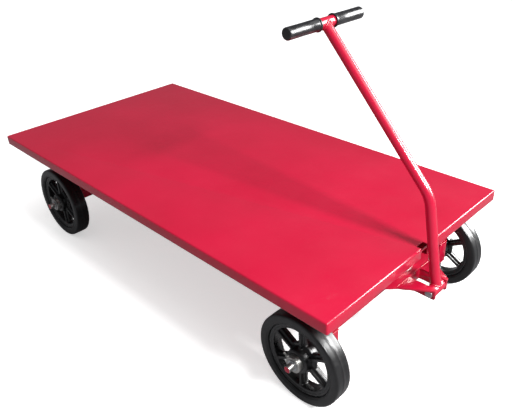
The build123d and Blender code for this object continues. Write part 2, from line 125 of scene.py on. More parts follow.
# %% Helpers for finishing
def apply_modifier(obj, kind, **settings):
    """Adds one modifier, sets it and applies it."""
    activate(obj)
    modifier = obj.modifiers.new(kind, kind)
    for key, value in settings.items():
        setattr(modifier, key, value)
    bpy.ops.object.modifier_apply(modifier=modifier.name)


def round_edges(obj, width, segments=3, angle=30):
    """Rounds every edge that is sharper than the angle, as a file or a press leaves it."""
    apply_modifier(
        obj,
        "BEVEL",
        width=width,
        segments=segments,
        limit_method="ANGLE",
        angle_limit=radians(angle),
        use_clamp_overlap=True,
    )


def face_outwards(obj):
    """Merges doubled points and turns every face to the outside."""
    activate(obj)
    bpy.ops.object.mode_set(mode="EDIT")
    bpy.ops.mesh.select_all(action="SELECT")
    bpy.ops.mesh.remove_doubles(threshold=1e-6)
    bpy.ops.mesh.normals_make_consistent(inside=False)
    leave_edit()


def settle(obj, name, body, material, replaced=(), smooth=35):
    """Bakes the piece's place into its mesh, shades it, names it and hands it to its body."""
    activate(obj)
    bpy.ops.object.transform_apply(location=True, rotation=True, scale=True)
    bpy.ops.object.shade_smooth_by_angle(angle=radians(smooth))
    obj.name = name
    obj.data.name = name
    if material is not None:
        obj.data.materials.clear()
        obj.data.materials.append(material)
    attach(obj, body)
    if replaced:
        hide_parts(*replaced)
    print(f"{name}: {len(obj.data.polygons)} faces, rides on {body}")
    return obj


# %% Helpers for making
def block(low, high):
    """A box between two corners, its size already in its mesh."""
    low, high = Vector(low), Vector(high)
    bpy.ops.mesh.primitive_cube_add(size=1.0, location=(low + high) / 2)
    obj = bpy.context.object
    obj.scale = high - low
    bpy.ops.object.transform_apply(location=True, rotation=True, scale=True)
    return obj


def join(pieces):
    """Joins several objects into the first."""
    activate(pieces[0])
    for piece in pieces:
        piece.select_set(True)
    bpy.ops.object.join()
    return bpy.context.object


def copied(obj):
    """A copy with its own mesh."""
    twin = obj.copy()
    twin.data = obj.data.copy()
    bpy.context.scene.collection.objects.link(twin)
    return twin


# %% [markdown]
# ## Turning on a lathe
# Tyres, hubs, axles, washers and grips are all turned shapes. A single point is extruded along the
# outline, and the Spin operator then carries the outline round the axis. All the turned pieces here
# lie across the truck, so the axis is always Y. The radius of each point is kept as an attribute,
# because the marks of turning follow it.

# %% Lathe helper
def lathe(outline, centre, steps=96, closed=True):
    """Turns an outline of (radius, along Y) points, in metres, about the Y line through centre."""
    centre = Vector(centre)
    bpy.ops.mesh.primitive_plane_add(size=0.01, location=centre)
    obj = bpy.context.object
    bpy.ops.object.transform_apply(location=True, rotation=True, scale=True)
    bpy.ops.object.mode_set(mode="EDIT")
    bpy.ops.mesh.select_mode(type="VERT")
    bpy.ops.mesh.select_all(action="SELECT")
    bpy.ops.mesh.merge(type="CENTER")
    places = [centre + Vector((radius, along, 0)) for radius, along in outline]
    if closed:
        places.append(places[0])
    bpy.ops.transform.translate(value=places[0] - centre)
    for before, after in zip(places, places[1:]):
        bpy.ops.mesh.extrude_region_move(TRANSFORM_OT_translate={"value": after - before})
    bpy.ops.mesh.select_all(action="SELECT")
    bpy.ops.mesh.spin(steps=steps, angle=2 * pi, center=centre, axis=(0, 1, 0))
    leave_edit()
    face_outwards(obj)
    return obj


def mark_radius(obj, centre):
    """Keeps each point's distance from the turning axis as an attribute."""
    attribute = obj.data.attributes.new("turned_radius", "FLOAT", "POINT")
    for vertex in obj.data.vertices:
        away = vertex.co - Vector(centre)
        attribute.data[vertex.index].value = sqrt(away.x ** 2 + away.z ** 2)


def arc(centre, radius, start, end, count):
    """Points of a circular arc in an outline, angles in degrees."""
    turns = [radians(start + (end - start) * i / count) for i in range(count + 1)]
    return [(centre[0] + radius * cos(t), centre[1] + radius * sin(t)) for t in turns]

# %% [markdown]
# ## Floor and light
# The truck stands on a plain pale studio floor, one flat plane 18 m across. The light is one
# soft box ahead of the truck, a broad dim sun overhead and a bright world that fills the shadows.
# A third lamp, a large panel, shows only in reflections: it draws the bright line along a bend and
# adds no light to dull faces. The floor and the world are also darker to reflections than to the
# eye, which keeps the paint's colour deep. Standard view transform keeps the strong red as it is.

# %% Floor
FLOOR_HALF = 9.0
bpy.ops.mesh.primitive_plane_add(size=2 * FLOOR_HALF, location=(0, 0, 0))
floor = bpy.context.object
floor.name = "studio_floor"
floor_paint = bpy.data.materials.new("pale_floor")
floor_paint.use_nodes = True
floor_shader = floor_paint.node_tree.nodes["Principled BSDF"]
floor_shader.inputs["Base Color"].default_value = (0.95, 0.95, 0.95, 1)
floor_shader.inputs["Roughness"].default_value = 0.7
floor_shader.inputs["Emission Color"].default_value = (1.0, 1.0, 1.0, 1)
floor_shader.inputs["Emission Strength"].default_value = 0.5
floor_shader.inputs["Specular IOR Level"].default_value = 0.2
air = floor_paint.node_tree
dim_floor = air.nodes.new("ShaderNodeBsdfDiffuse")
dim_floor.inputs["Color"].default_value = (0.26, 0.26, 0.27, 1)
seen = air.nodes.new("ShaderNodeLightPath")
choice = air.nodes.new("ShaderNodeMixShader")
air.links.new(seen.outputs["Is Camera Ray"], choice.inputs["Fac"])
air.links.new(dim_floor.outputs["BSDF"], choice.inputs[1])
air.links.new(floor_shader.outputs["BSDF"], choice.inputs[2])
air.links.new(choice.outputs["Shader"], air.nodes["Material Output"].inputs["Surface"])
floor.data.materials.append(floor_paint)
print("floor laid,", 2 * FLOOR_HALF, "m across")

# %% Light
def soft_box(name, place, target, width, height, power, colour=(1, 1, 1)):
    """A rectangular lamp that looks at the target."""
    bpy.ops.object.light_add(type="AREA", location=place)
    lamp = bpy.context.object
    lamp.name = name
    lamp.data.shape = "RECTANGLE"
    lamp.data.size = width
    lamp.data.size_y = height
    lamp.data.energy = power
    lamp.data.color = colour
    lamp.rotation_euler = (Vector(target) - Vector(place)).to_track_quat("-Z", "Y").to_euler()
    return lamp


deck_top = Vector((deck_middle.x, 0, deck_high.z))
KEY_HEIGHT = radians(35)
KEY_DISTANCE = 4.8
key_direction = Vector((cos(KEY_HEIGHT), 0.0, sin(KEY_HEIGHT)))
soft_box("key", deck_top + key_direction * KEY_DISTANCE, deck_top, 1.0, 0.8, 245)
lip_top = Vector((deck_high.x, 0, deck_high.z))
GLINT_DIRECTION = Vector((0.50, 0.74, 0.45))
GLINT_DISTANCE = 3.4
glint_place = lip_top + GLINT_DIRECTION * GLINT_DISTANCE
glint = soft_box("glint", glint_place, lip_top, 2.4, 2.0, 400)
glint.visible_diffuse = False
bpy.ops.object.light_add(type="SUN", location=(0, 0, 3))
sun = bpy.context.object
sun.name = "overhead"
sun.data.energy = 0.85
sun.data.angle = radians(50)
sun.rotation_euler = (radians(-8), radians(14), 0)

world = bpy.data.worlds.new("studio_air")
world.use_nodes = True
air = world.node_tree
fill = air.nodes["Background"]
fill.inputs["Color"].default_value = (1.0, 1.0, 1.0, 1)
fill.inputs["Strength"].default_value = 0.46
mirrored = air.nodes.new("ShaderNodeBackground")
mirrored.inputs["Color"].default_value = (0.9, 0.92, 1.0, 1)
mirrored.inputs["Strength"].default_value = 0.14
path = air.nodes.new("ShaderNodeLightPath")
choice = air.nodes.new("ShaderNodeMixShader")
air.links.new(path.outputs["Is Glossy Ray"], choice.inputs["Fac"])
air.links.new(fill.outputs["Background"], choice.inputs[1])
air.links.new(mirrored.outputs["Background"], choice.inputs[2])
air.links.new(choice.outputs["Shader"], air.nodes["World Output"].inputs["Surface"])
bpy.context.scene.world = world
bpy.context.scene.view_settings.view_transform = "Standard"
print("three lamps and a bright room")

# %% [markdown]
# ## Paint, iron, rubber and steel
# A finish is more than a colour. Sprayed enamel varies slightly in depth and has a fine
# orange-peel skin, cast iron is pebbled under its paint, turned steel carries fine rings, and
# rubber is dull with a bloom. Each finish here is built from noise on Object coordinates, which
# stay fixed to the piece when it moves. One small helper wires the usual pair of noises: a coarse
# one that changes colour and roughness, and a fine one that raises the surface.

# %% Finish helper
def new_finish(name, metallic=0.0, specular=0.5, coat=0.0, coat_roughness=0.1):
    """An empty material with its Principled shader ready."""
    made = bpy.data.materials.new(name)
    made.use_nodes = True
    shader = made.node_tree.nodes["Principled BSDF"]
    shader.inputs["Metallic"].default_value = metallic
    shader.inputs["Specular IOR Level"].default_value = specular
    shader.inputs["Coat Weight"].default_value = coat
    shader.inputs["Coat Roughness"].default_value = coat_roughness
    return made, made.node_tree, shader


def object_noise(tree, scale, detail=3.0, roughness=0.5):
    """A noise that is fixed to the piece by its Object coordinates."""
    coordinates = tree.nodes.new("ShaderNodeTexCoord")
    noise = tree.nodes.new("ShaderNodeTexNoise")
    noise.inputs["Scale"].default_value = scale
    noise.inputs["Detail"].default_value = detail
    noise.inputs["Roughness"].default_value = roughness
    tree.links.new(coordinates.outputs["Object"], noise.inputs["Vector"])
    return noise.outputs["Fac"]


def between(tree, factor, low, high, from_low=0.3, from_high=0.7):
    """Maps a noise onto a range of numbers."""
    ranged = tree.nodes.new("ShaderNodeMapRange")
    ranged.inputs["From Min"].default_value = from_low
    ranged.inputs["From Max"].default_value = from_high
    ranged.inputs["To Min"].default_value = low
    ranged.inputs["To Max"].default_value = high
    tree.links.new(factor, ranged.inputs["Value"])
    return ranged.outputs["Result"]


def blend_colours(tree, factor, first, second):
    """Mixes two colours, or a linked colour and a colour, by a factor."""
    mix = tree.nodes.new("ShaderNodeMix")
    mix.data_type = "RGBA"
    tree.links.new(factor, mix.inputs[0])
    for socket, value in ((mix.inputs[6], first), (mix.inputs[7], second)):
        if isinstance(value, tuple):
            socket.default_value = (*value, 1)
        else:
            tree.links.new(value, socket)
    return mix.outputs[2]


def raise_surface(tree, shader, layers):
    """Chains bumps, each (height, distance in metres, strength), into the shader's normal."""
    before = None
    for height, distance, strength in layers:
        bump = tree.nodes.new("ShaderNodeBump")
        bump.inputs["Distance"].default_value = distance
        bump.inputs["Strength"].default_value = strength
        tree.links.new(height, bump.inputs["Height"])
        if before is not None:
            tree.links.new(before, bump.inputs["Normal"])
        before = bump.outputs["Normal"]
    tree.links.new(before, shader.inputs["Normal"])
    return before


# %% [markdown]
# ### Worn edges
# Paint goes first from the edges that get knocked. The Bevel node gives a normal as if the edges
# were rounded, so where it differs from the true normal there is an edge. Broken up by a noise,
# that difference becomes a mask of small nicks with darker metal showing through.

# %% Edge mask
def worn_edges(tree, radius, amount):
    """A mask of small nicks along edges, from 0 to amount."""
    rounded = tree.nodes.new("ShaderNodeBevel")
    rounded.samples = 4
    rounded.inputs["Radius"].default_value = radius
    geometry = tree.nodes.new("ShaderNodeNewGeometry")
    dot = tree.nodes.new("ShaderNodeVectorMath")
    dot.operation = "DOT_PRODUCT"
    tree.links.new(rounded.outputs["Normal"], dot.inputs[0])
    tree.links.new(geometry.outputs["Normal"], dot.inputs[1])
    edge = between(tree, dot.outputs["Value"], 1.0, 0.0, 0.86, 0.985)
    nicks = between(tree, object_noise(tree, 42.0, 4.0, 0.65), 0.0, amount, 0.54, 0.62)
    product = tree.nodes.new("ShaderNodeMath")
    product.operation = "MULTIPLY"
    tree.links.new(edge, product.inputs[0])
    tree.links.new(nicks, product.inputs[1])
    return product.outputs["Value"]


# %% Red enamel
RED = (0.60, 0.0045, 0.043)
RED_DEEP = (0.52, 0.0035, 0.034)
BARE = (0.055, 0.045, 0.045)
red_enamel, tree, shader = new_finish("red_enamel_paint", specular=0.35, coat=0.45, coat_roughness=0.09)
depth = between(tree, object_noise(tree, 3.2, 3.0), 0.0, 1.0)
colour = blend_colours(tree, depth, RED, RED_DEEP)
scuffs = between(tree, object_noise(tree, 160.0, 5.0, 0.7), 0.0, 0.10, 0.58, 0.76)
colour = blend_colours(tree, scuffs, colour, (0.80, 0.10, 0.13))
wear = worn_edges(tree, 0.0022, 0.75)
colour = blend_colours(tree, wear, colour, BARE)
tree.links.new(colour, shader.inputs["Base Color"])
haze = between(tree, object_noise(tree, 9.0, 5.0, 0.6), 0.30, 0.42)
tree.links.new(haze, shader.inputs["Roughness"])
raise_surface(
    tree,
    shader,
    (
        (object_noise(tree, 2.4, 1.0), 0.004, 0.12),
        (object_noise(tree, 480.0, 2.0), 0.00012, 0.5),
    ),
)
print("red enamel mixed")

# %% Black paint on cast iron
black_iron, tree, shader = new_finish(
    "black_paint_on_iron", specular=0.55, coat=0.35, coat_roughness=0.22
)
shade = between(tree, object_noise(tree, 26.0, 4.0), 0.0, 1.0)
colour = blend_colours(tree, shade, (0.004, 0.004, 0.0045), (0.010, 0.010, 0.0105))
wear = worn_edges(tree, 0.0016, 0.6)
colour = blend_colours(tree, wear, colour, (0.13, 0.125, 0.12))
tree.links.new(colour, shader.inputs["Base Color"])
tree.links.new(between(tree, object_noise(tree, 60.0, 4.0), 0.24, 0.40), shader.inputs["Roughness"])
raise_surface(
    tree,
    shader,
    (
        (object_noise(tree, 95.0, 3.0), 0.0007, 0.45),
        (object_noise(tree, 420.0, 3.0, 0.6), 0.0003, 0.6),
    ),
)
print("black iron mixed")

# %% Tyre rubber
tyre_rubber, tree, shader = new_finish("tyre_rubber", specular=0.4, coat=0.3, coat_roughness=0.16)
bloom = between(tree, object_noise(tree, 30.0, 5.0, 0.6), 0.0, 1.0)
colour = blend_colours(tree, bloom, (0.005, 0.005, 0.0055), (0.011, 0.011, 0.0115))
tree.links.new(colour, shader.inputs["Base Color"])
tree.links.new(between(tree, object_noise(tree, 75.0, 4.0), 0.28, 0.42), shader.inputs["Roughness"])
raise_surface(
    tree,
    shader,
    (
        (object_noise(tree, 130.0, 3.0), 0.0004, 0.3),
        (object_noise(tree, 900.0, 2.0), 0.00012, 0.6),
    ),
)
print("rubber mixed")


# %% [markdown]
# ### Turned and plated steel
# The hub ends and the axles were cut on a lathe, so their faces carry fine rings about the axis.
# Every turned piece stores its radius as an attribute, and a sine of that radius gives the rings.
# Zinc plating is duller, with a faint cloudy pattern of crystals.

# %% Steel finishes
def turned_finish(name, tint, roughness_low, roughness_high, ring_depth):
    """Steel with lathe rings read from the turned_radius attribute."""
    made, tree, shader = new_finish(name, metallic=1.0)
    radius = tree.nodes.new("ShaderNodeAttribute")
    radius.attribute_name = "turned_radius"
    rings = tree.nodes.new("ShaderNodeMath")
    rings.operation = "MULTIPLY"
    rings.inputs[1].default_value = 2 * pi / 0.0007
    tree.links.new(radius.outputs["Fac"], rings.inputs[0])
    wave = tree.nodes.new("ShaderNodeMath")
    wave.operation = "SINE"
    tree.links.new(rings.outputs["Value"], wave.inputs[0])
    cloud = between(tree, object_noise(tree, 40.0, 4.0), 0.0, 1.0)
    darker = tuple(0.72 * part for part in tint)
    tree.links.new(blend_colours(tree, cloud, tint, darker), shader.inputs["Base Color"])
    tree.links.new(
        between(tree, object_noise(tree, 110.0, 3.0), roughness_low, roughness_high),
        shader.inputs["Roughness"],
    )
    grain = object_noise(tree, 600.0, 2.0)
    raise_surface(tree, shader, ((wave.outputs["Value"], ring_depth, 0.5), (grain, 0.0001, 0.3)))
    return made


bright_steel = turned_finish("bright_turned_steel", (0.62, 0.61, 0.58), 0.28, 0.42, 0.00003)

zinc_plate, tree, shader = new_finish("zinc_plating", metallic=1.0)
coordinates = tree.nodes.new("ShaderNodeTexCoord")
crystals = tree.nodes.new("ShaderNodeTexVoronoi")
crystals.inputs["Scale"].default_value = 240.0
tree.links.new(coordinates.outputs["Object"], crystals.inputs["Vector"])
colour = blend_colours(tree, crystals.outputs["Distance"], (0.74, 0.75, 0.76), (0.56, 0.58, 0.61))
tree.links.new(colour, shader.inputs["Base Color"])
tree.links.new(between(tree, object_noise(tree, 90.0, 4.0), 0.26, 0.42), shader.inputs["Roughness"])
raise_surface(tree, shader, ((object_noise(tree, 300.0, 3.0), 0.0002, 0.3),))
print("steel and zinc mixed")

# %% Grip vinyl
grip_vinyl, tree, shader = new_finish("grip_vinyl", specular=0.5, coat=0.2, coat_roughness=0.15)
shade = between(tree, object_noise(tree, 50.0, 4.0), 0.0, 1.0)
colour = blend_colours(tree, shade, (0.008, 0.008, 0.009), (0.018, 0.018, 0.020))
tree.links.new(colour, shader.inputs["Base Color"])
tree.links.new(between(tree, object_noise(tree, 80.0, 3.0), 0.24, 0.38), shader.inputs["Roughness"])
raise_surface(
    tree,
    shader,
    (
        (object_noise(tree, 55.0, 2.0), 0.0008, 0.3),
        (object_noise(tree, 700.0, 2.0), 0.00015, 0.6),
    ),
)
print("vinyl mixed")

# %% Weld metal under red paint
weld_paint, tree, shader = new_finish("red_paint_on_weld", specular=0.5, coat=0.6, coat_roughness=0.10)
shade = between(tree, object_noise(tree, 120.0, 4.0), 0.0, 1.0)
colour = blend_colours(tree, shade, RED, (0.50, 0.006, 0.020))
tree.links.new(colour, shader.inputs["Base Color"])
tree.links.new(between(tree, object_noise(tree, 200.0, 3.0), 0.22, 0.36), shader.inputs["Roughness"])
raise_surface(tree, shader, ((object_noise(tree, 320.0, 3.0), 0.0006, 0.5),))
print("weld paint mixed")

# %% [markdown]
# ## The deck
# The deck is one sheet of steel, bent down on all four sides into a lip, with a short return at
# the foot of each lip and a notch in front for the drawbar. It could be drawn as five plates, but
# a bent sheet has no seams: a block is opened from below, its edges are bevelled into bends, and
# Solidify gives the skin its thickness. The notch is cut last, through the finished sheet.

# %% Deck sheet
SHEET = 3.0 * MM
BEND = 4.6 * MM
RETURN = 15.0 * MM
NOTCH_HALF = 15.0 * MM
NOTCH_DEPTH = 15.5 * MM
deck = block(deck_low, deck_high)
pick(deck, "FACE", lambda face: face.normal.z < -0.9)
bpy.ops.mesh.inset(thickness=RETURN, depth=0)
bpy.ops.mesh.delete(type="FACE")
leave_edit()


def on_deck_outside(edge):
    """True for the edges of the block itself, which become bends."""
    spot = middle(edge)
    at_end = abs(abs(spot.x - deck_middle.x) - (deck_high.x - deck_low.x) / 2) < 1e-4
    at_side = abs(abs(spot.y) - deck_high.y) < 1e-4
    return at_end or at_side


pick(deck, "EDGE", on_deck_outside)
bpy.ops.mesh.bevel(offset=BEND, segments=5, affect="EDGES")
leave_edit()
apply_modifier(deck, "SOLIDIFY", thickness=SHEET, offset=-1.0, use_even_offset=True)
notch = block(
    (deck_high.x - NOTCH_DEPTH, -NOTCH_HALF, deck_low.z - 0.01),
    (deck_high.x + 0.01, NOTCH_HALF, deck_high.z + 0.01),
)
apply_modifier(deck, "BOOLEAN", object=notch, operation="DIFFERENCE", solver="EXACT")
bpy.data.objects.remove(notch)
round_edges(deck, 0.5 * MM, segments=2, angle=50)
settle(deck, "deck_sheet", "deck", red_enamel, ("deck_pan",), smooth=40)

# %% [markdown]
# ## Frame members
# Beams, legs, bolsters and stringers are rolled or folded steel. Their ready-made solids have the
# right sizes but knife-sharp edges, and nothing made of steel is that sharp. Each is copied, its
# loose triangles are merged and its flat faces cleaned up, and a small bevel rounds the edges so
# that they catch the light. The copy then stands in for the solid.

# %% Softened copies
def softened(node, width, segments=2, angle=40):
    """A copy of a solid's mesh, merged, cleaned and with its sharp edges rounded."""
    obj = copied(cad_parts[node])
    obj.parent = None
    for key in list(obj.keys()):
        del obj[key]
    activate(obj)
    bpy.ops.object.mode_set(mode="EDIT")
    bpy.ops.mesh.select_all(action="SELECT")
    bpy.ops.mesh.remove_doubles(threshold=1e-6)
    bpy.ops.mesh.customdata_custom_splitnormals_clear()
    bpy.ops.mesh.dissolve_limited(angle_limit=radians(2.0))
    leave_edit()
    round_edges(obj, width, segments, angle)
    return obj


STEEL_MEMBERS = {
    "deck": (
        ("left_stringer", 0.9),
        ("right_stringer", 0.9),
        ("front_cross_member", 0.8),
        ("middle_cross_member", 0.8),
        ("rear_cross_member", 0.8),
        ("upper_turntable_plate", 1.0),
        ("rear_bolster", 0.8),
        ("rear_left_leg", 0.8),
        ("rear_right_leg", 0.8),
        ("rear_axle_beam", 0.7),
    ),
    "fore_carriage": (
        ("lower_turntable_plate", 1.0),
        ("front_bolster", 0.8),
        ("front_left_leg", 0.9),
        ("front_right_leg", 0.9),
        ("tongue_left_side", 0.9),
        ("tongue_right_side", 0.9),
        ("tongue_left_gusset", 1.0),
        ("tongue_right_gusset", 1.0),
        ("tongue_spreader", 0.8),
    ),
}
for body, members in STEEL_MEMBERS.items():
    for node, width in members:
        member = softened(node, width * MM)
        settle(member, node + "_steel", body, red_enamel, (node,), smooth=35)

# %% [markdown]
# ## Tyres
# Each tyre is a solid moulded ring with round shoulders, a slightly crowned tread and a faint
# ridge where the halves of the mould met. A torus would be too round, so the half section is drawn
# point by point, mirrored and turned on the lathe. One tyre is made and the rest are copies.

# %% Tyre
WHEELS = ("front_left", "front_right", "rear_left", "rear_right")
ORIGIN = Vector((0, 0, 0))
tyre_low, tyre_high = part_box("front_left_tyre")
TREAD = (tyre_high.z - tyre_low.z) / 2
SIDE = (tyre_high.y - tyre_low.y) / 2
RIM = 100.0 * MM
RIM_HALF = 18.0 * MM
half_section = [
    (RIM, RIM_HALF - 1.0 * MM),
    (RIM + 0.5 * MM, RIM_HALF + 1.0 * MM),
    (RIM + 1.6 * MM, RIM_HALF + 3.6 * MM),
    (RIM + 3.0 * MM, RIM_HALF + 4.8 * MM),
    (RIM + 3.8 * MM, RIM_HALF + 4.7 * MM),
    (RIM + 5.0 * MM, SIDE - 0.7 * MM),
    (RIM + 8.0 * MM, SIDE - 0.1 * MM),
    (RIM + 13.0 * MM, SIDE),
    (TREAD - 7.0 * MM, SIDE - 0.1 * MM),
    (TREAD - 4.4 * MM, SIDE - 0.6 * MM),
    (TREAD - 2.4 * MM, SIDE - 1.6 * MM),
    (TREAD - 1.1 * MM, SIDE - 3.0 * MM),
    (TREAD - 0.5 * MM, SIDE - 4.8 * MM),
    (TREAD - 0.3 * MM, SIDE - 8.0 * MM),
    (TREAD - 0.2 * MM, SIDE - 16.0 * MM),
    (TREAD - 0.18 * MM, 0.6 * MM),
    (TREAD, 0.25 * MM),
]
tyre_outline = half_section + [(radius, -along) for radius, along in reversed(half_section)]
tyre_model = lathe(tyre_outline, ORIGIN, steps=144)


def wheel_middle(wheel):
    """The middle of a wheel, from its tyre's box."""
    low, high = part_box(f"{wheel}_tyre")
    return (low + high) / 2


def place_copy(model, wheel, part, material, smooth=35):
    """Copies a wheel part to one wheel and hands it over."""
    piece = copied(model)
    activate(piece)
    bpy.ops.transform.translate(value=wheel_middle(wheel))
    name = f"{wheel}_{part}"
    return settle(piece, name + "_seen", f"{wheel}_wheel", material, (name,), smooth=smooth)


for wheel in WHEELS:
    place_copy(tyre_model, wheel, "tyre", tyre_rubber, smooth=50)
bpy.data.objects.remove(tyre_model)

# %% [markdown]
# ## Cast wheel centres
# The centre of each wheel is one iron casting: a rim, six ribbed spokes and a boss. Built from
# separate boxes it would look like a toy, because a casting has soft corners wherever two shapes
# meet. So the shapes are only laid over each other, Voxel Remesh melts them into one skin, and a
# Smooth modifier, kept away from the rim's edge by a vertex group, makes the fillets.

# %% Casting
BOSS = 33.0 * MM
BOSS_HALF = 27.0 * MM
BORE = 21.6 * MM
WEB_HALF = 5.5 * MM
WEB_RING = 42.0 * MM
SPOKE_HALF = 9.5 * MM
RIB_HALF = 4.2 * MM
RIB_REACH = 13.5 * MM
RIM_INNER = 87.0 * MM
RIM_STEP = 94.0 * MM
rim_half = [
    (RIM_INNER - 1.6 * MM, 0.0),
    (RIM_INNER - 1.0 * MM, WEB_HALF),
    (RIM_INNER, RIM_HALF - 3.0 * MM),
    (RIM_INNER + 0.8 * MM, RIM_HALF - 2.4 * MM),
    (RIM_STEP - 1.0 * MM, RIM_HALF - 2.4 * MM),
    (RIM_STEP, RIM_HALF),
    (RIM, RIM_HALF),
]
rim_outline = rim_half + [(radius, -along) for radius, along in reversed(rim_half[1:])]
rim = lathe(rim_outline, ORIGIN, steps=144)
boss_half = [
    (BORE, BOSS_HALF),
    (BOSS - 3.0 * MM, BOSS_HALF),
    (BOSS, BOSS_HALF - 3.0 * MM),
    (BOSS + 1.5 * MM, WEB_HALF),
    (WEB_RING, WEB_HALF),
]
boss_outline = boss_half + [(radius, -along) for radius, along in reversed(boss_half)]
boss = lathe(boss_outline, ORIGIN, steps=96)
shapes = [rim, boss]
for number in range(6):
    spoke = block((-SPOKE_HALF, -WEB_HALF, BOSS - 3 * MM), (SPOKE_HALF, WEB_HALF, RIM - 8 * MM))
    rib = block((-RIB_HALF, -RIB_REACH, BOSS - 3 * MM), (RIB_HALF, RIB_REACH, RIM - 8 * MM))
    arm = join([spoke, rib])
    activate(arm)
    bpy.ops.transform.rotate(value=radians(60 * number), orient_axis="Y", center_override=(0, 0, 0))
    bpy.ops.object.transform_apply(location=True, rotation=True, scale=True)
    shapes.append(arm)
casting = join(shapes)
VOXEL = 1.5 * MM
apply_modifier(casting, "REMESH", mode="VOXEL", voxel_size=VOXEL, adaptivity=0.0)
fillets = casting.vertex_groups.new(name="fillets")
inner = [
    vertex.index
    for vertex in casting.data.vertices
    if sqrt(vertex.co.x ** 2 + vertex.co.z ** 2) < RIM_STEP - 1.5 * MM
]
fillets.add(inner, 1.0, "REPLACE")
apply_modifier(casting, "SMOOTH", factor=0.5, iterations=7, vertex_group="fillets")
everywhere = casting.vertex_groups.new(name="everywhere")
everywhere.add(range(len(casting.data.vertices)), 1.0, "REPLACE")
apply_modifier(casting, "SMOOTH", factor=0.5, iterations=1, vertex_group="everywhere")
casting.vertex_groups.clear()
print("casting:", len(casting.data.polygons), "faces")
for wheel in WHEELS:
    place_copy(casting, wheel, "wheel_centre", black_iron, smooth=60)
bpy.data.objects.remove(casting)

# %% [markdown]
# ## Hubs, axles and washers
# Everything here was turned from bar, so it is all lathe work with small steps and chamfers, where
# light lines form. The turned radius of every point is stored for the fine rings in the finish.
# The ends of the axles were left in the colour of the frame, so their end faces take red paint.

# %% Hub sleeves
HUB = 22.0 * MM
HUB_HALF = 40.0 * MM
AXLE = 9.5 * MM
sleeve_half = [
    (AXLE + 0.1 * MM, HUB_HALF - 1.0 * MM),
    (AXLE + 0.6 * MM, HUB_HALF - 0.4 * MM),
    (AXLE + 3.2 * MM, HUB_HALF - 0.4 * MM),
    (AXLE + 3.4 * MM, HUB_HALF - 1.6 * MM),
    (AXLE + 5.4 * MM, HUB_HALF - 1.6 * MM),
    (AXLE + 5.6 * MM, HUB_HALF),
    (HUB - 1.2 * MM, HUB_HALF),
    (HUB, HUB_HALF - 1.2 * MM),
    (HUB, HUB_HALF - 4.0 * MM),
    (HUB - 0.7 * MM, HUB_HALF - 4.4 * MM),
    (HUB - 0.7 * MM, HUB_HALF - 5.8 * MM),
    (HUB, HUB_HALF - 6.2 * MM),
]
sleeve_outline = sleeve_half + [(radius, -along) for radius, along in reversed(sleeve_half)]
hub_sleeve = lathe(sleeve_outline, ORIGIN, steps=96)
round_edges(hub_sleeve, 0.25 * MM, segments=2, angle=30)
mark_radius(hub_sleeve, ORIGIN)
for wheel in WHEELS:
    place_copy(hub_sleeve, wheel, "hub_sleeve", bright_steel, smooth=40)
bpy.data.objects.remove(hub_sleeve)

# %% Axle rods
STUB_INNER = 234.0 * MM


def axle_rods(node, name, body, inner=None):
    """Plain rods with chamfered ends: one right across, or a stub each side from inner outwards."""
    low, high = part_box(node)
    centre = Vector(((low.x + high.x) / 2, 0, (low.z + high.z) / 2))
    chamfer = 1.2 * MM
    runs = ((low.y, high.y),) if inner is None else ((low.y, -inner), (inner, high.y))
    rods = []
    for start, stop in runs:
        outline = [
            (0.0, start),
            (AXLE - chamfer, start),
            (AXLE, start + chamfer),
            (AXLE, stop - chamfer),
            (AXLE - chamfer, stop),
            (0.0, stop),
        ]
        rods.append(lathe(outline, centre, steps=64, closed=False))
    rod = join(rods)
    round_edges(rod, 0.3 * MM, segments=2, angle=30)
    mark_radius(rod, centre)
    settle(rod, name, body, bright_steel, (node,), smooth=40)
    rod.data.materials.append(red_enamel)
    for face in rod.data.polygons:
        if abs(face.center.y) > high.y - 0.4 * MM:
            face.material_index = 1
    return centre


front_axle_centre = axle_rods("front_axle", "front_stub_axles", "fore_carriage", STUB_INNER)
rear_axle_centre = axle_rods("rear_axle", "rear_axle_rod", "deck")

# %% Washers
WASHER_THICK = 1.4 * MM
WASHER_PLAY = 0.3 * MM
INNER_WASHER = 19.0 * MM
OUTER_WASHER = 14.0 * MM
leg_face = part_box("rear_left_leg")[1].y


def washer_set(node, centre, name, body):
    """Four turned washers on one axle: a wide one inside and a narrow one outside each hub."""
    low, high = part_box(node)
    rings = []
    for side in (1, -1):
        for start, radius in (
            (leg_face + WASHER_PLAY, INNER_WASHER),
            (high.y - WASHER_THICK, OUTER_WASHER),
        ):
            edge = 0.25 * MM
            outline = [
                (AXLE + 0.3 * MM, start),
                (radius - edge, start),
                (radius, start + edge),
                (radius, start + WASHER_THICK - edge),
                (radius - edge, start + WASHER_THICK),
                (AXLE + 0.3 * MM, start + WASHER_THICK),
            ]
            outline = [(r, side * along) for r, along in outline]
            rings.append(lathe(outline, centre, steps=64))
    washers = join(rings)
    settle(washers, name, body, zinc_plate, (node,), smooth=40)


washer_set("front_washers", front_axle_centre, "front_washer_set", "fore_carriage")
washer_set("rear_washers", rear_axle_centre, "rear_washer_set", "deck")

# %% [markdown]
# ## Spring pins
# A short pin through the end of each axle keeps the wheel on. It is rolled from a strip, so it has
# a slot along it and slightly rounded ends: a cylinder is bevelled at its rims and a thin block is
# taken out of its side.

# %% Spring pins
PIN = 2.4 * MM


